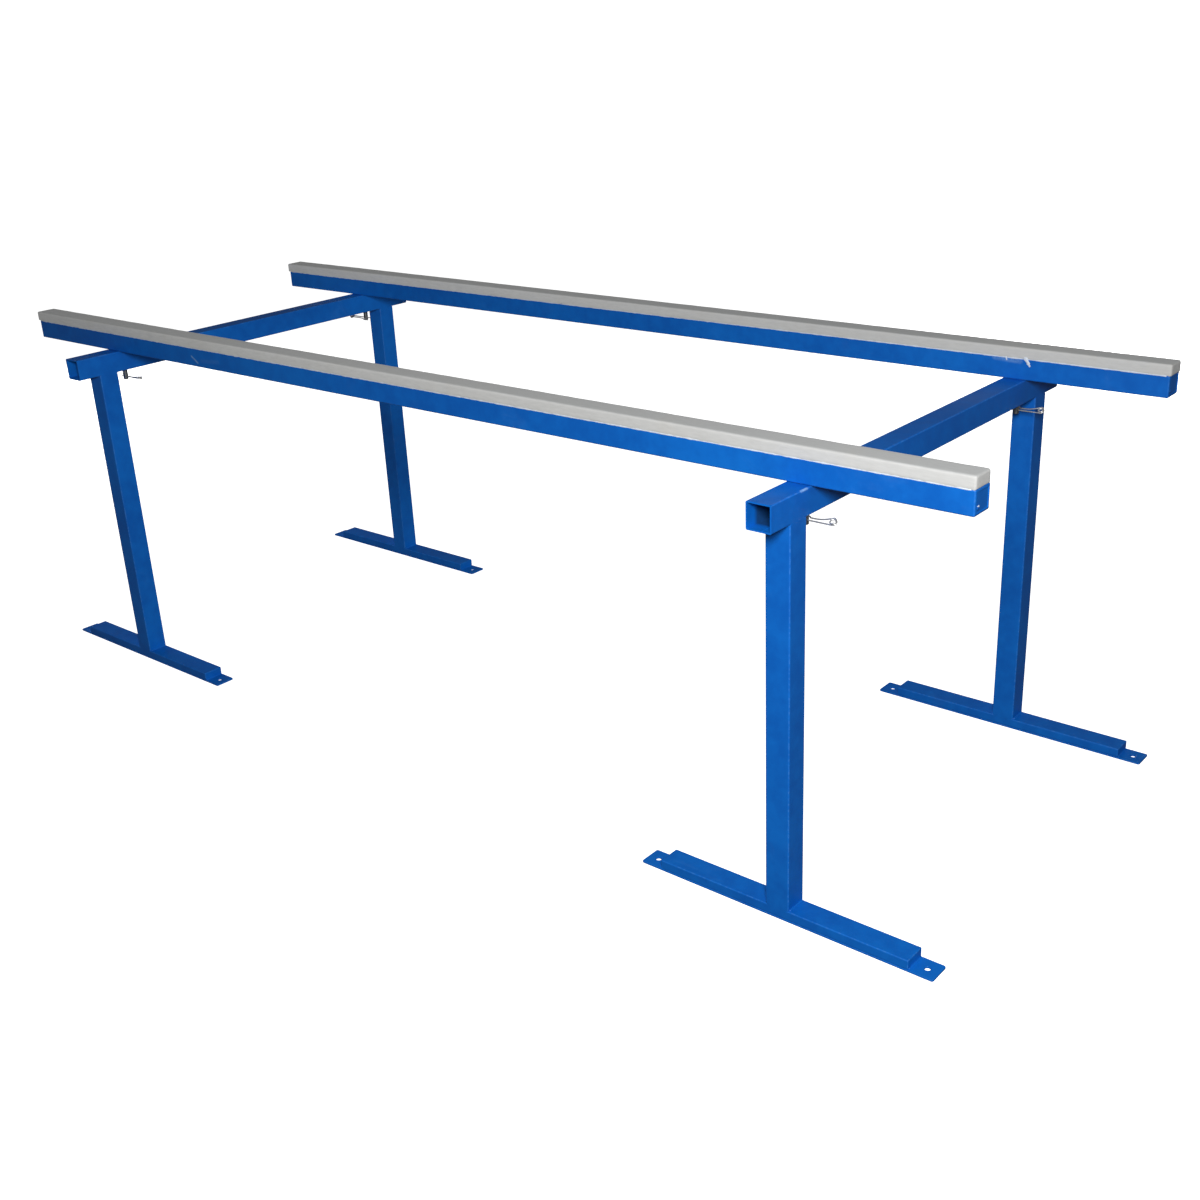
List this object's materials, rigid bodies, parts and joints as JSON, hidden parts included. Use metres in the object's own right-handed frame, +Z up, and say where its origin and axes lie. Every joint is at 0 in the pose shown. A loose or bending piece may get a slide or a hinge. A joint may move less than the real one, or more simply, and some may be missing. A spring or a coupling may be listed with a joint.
{
  "type": "twin rail trestle stand",
  "caption": "Knock-down steel stand: long parallel rails with soft top strips rest on cross-beams with square legs and bolt-down feet, held by studs and pull-out spring clips.",
  "frame": {"origin": "on the floor under the middle of the object's box", "axes": "+X along the rails towards the end frame called right, +Y across the rails towards the far rail, +Z up"},
  "size_m": [2.67, 1.086, 0.8886],
  "materials": {
    "blue_paint": "smooth semi-gloss powder coat, bright blue",
    "grey_strip": "matt pale grey, soft and slightly fibrous",
    "zinc_steel": "zinc plated",
    "bright_wire": "bright drawn wire"
  },
  "bodies": {
    "frame": {"crossbeam_left": "blue_paint", "leg_near_left": "blue_paint", "foot_plate_near_left": "blue_paint", "foot_tube_near_left": "blue_paint", "foot_end_near_left_outer": "blue_paint", "foot_end_near_left_inner": "blue_paint", "leg_far_left": "blue_paint", "foot_plate_far_left": "blue_paint", "foot_tube_far_left": "blue_paint", "foot_end_far_left_outer": "blue_paint", "foot_end_far_left_inner": "blue_paint", "crossbeam_right": "blue_paint", "leg_near_right": "blue_paint", "foot_plate_near_right": "blue_paint", "foot_tube_near_right": "blue_paint", "foot_end_near_right_outer": "blue_paint", "foot_end_near_right_inner": "blue_paint", "leg_far_right": "blue_paint", "foot_plate_far_right": "blue_paint", "foot_tube_far_right": "blue_paint", "foot_end_far_right_outer": "blue_paint", "foot_end_far_right_inner": "blue_paint"},
    "near_rail": {"rail_near": "blue_paint", "rail_end_near_left": "blue_paint", "rail_end_near_right": "blue_paint", "cap_near": "grey_strip", "stud_near_left": "zinc_steel", "stud_near_right": "zinc_steel"},
    "far_rail": {"rail_far": "blue_paint", "rail_end_far_left": "blue_paint", "rail_end_far_right": "blue_paint", "cap_far": "grey_strip", "stud_far_left": "zinc_steel", "stud_far_right": "zinc_steel"},
    "clip_near_left": {"clip_near_left": "bright_wire"},
    "clip_near_right": {"clip_near_right": "bright_wire"},
    "clip_far_left": {"clip_far_left": "bright_wire"},
    "clip_far_right": {"clip_far_right": "bright_wire"}
  },
  "joints": [
    {"name": "near_rail_lift", "type": "slide", "parent": "frame", "child": "near_rail", "axis": [0, 0, 1], "range_m": [0, 0.012]},
    {"name": "far_rail_lift", "type": "slide", "parent": "frame", "child": "far_rail", "axis": [0, 0, 1], "range_m": [0, 0.012]},
    {"name": "clip_near_left_pull", "type": "slide", "parent": "near_rail", "child": "clip_near_left", "axis": [1, 0, 0], "range_m": [0, 0.03], "deforming": ["clip_near_left"]},
    {"name": "clip_near_right_pull", "type": "slide", "parent": "near_rail", "child": "clip_near_right", "axis": [1, 0, 0], "range_m": [0, 0.03], "deforming": ["clip_near_right"]},
    {"name": "clip_far_left_pull", "type": "slide", "parent": "far_rail", "child": "clip_far_left", "axis": [-1, 0, 0], "range_m": [0, 0.03], "deforming": ["clip_far_left"]},
    {"name": "clip_far_right_pull", "type": "slide", "parent": "far_rail", "child": "clip_far_right", "axis": [1, 0, 0], "range_m": [0, 0.03], "deforming": ["clip_far_right"]}
  ]
}
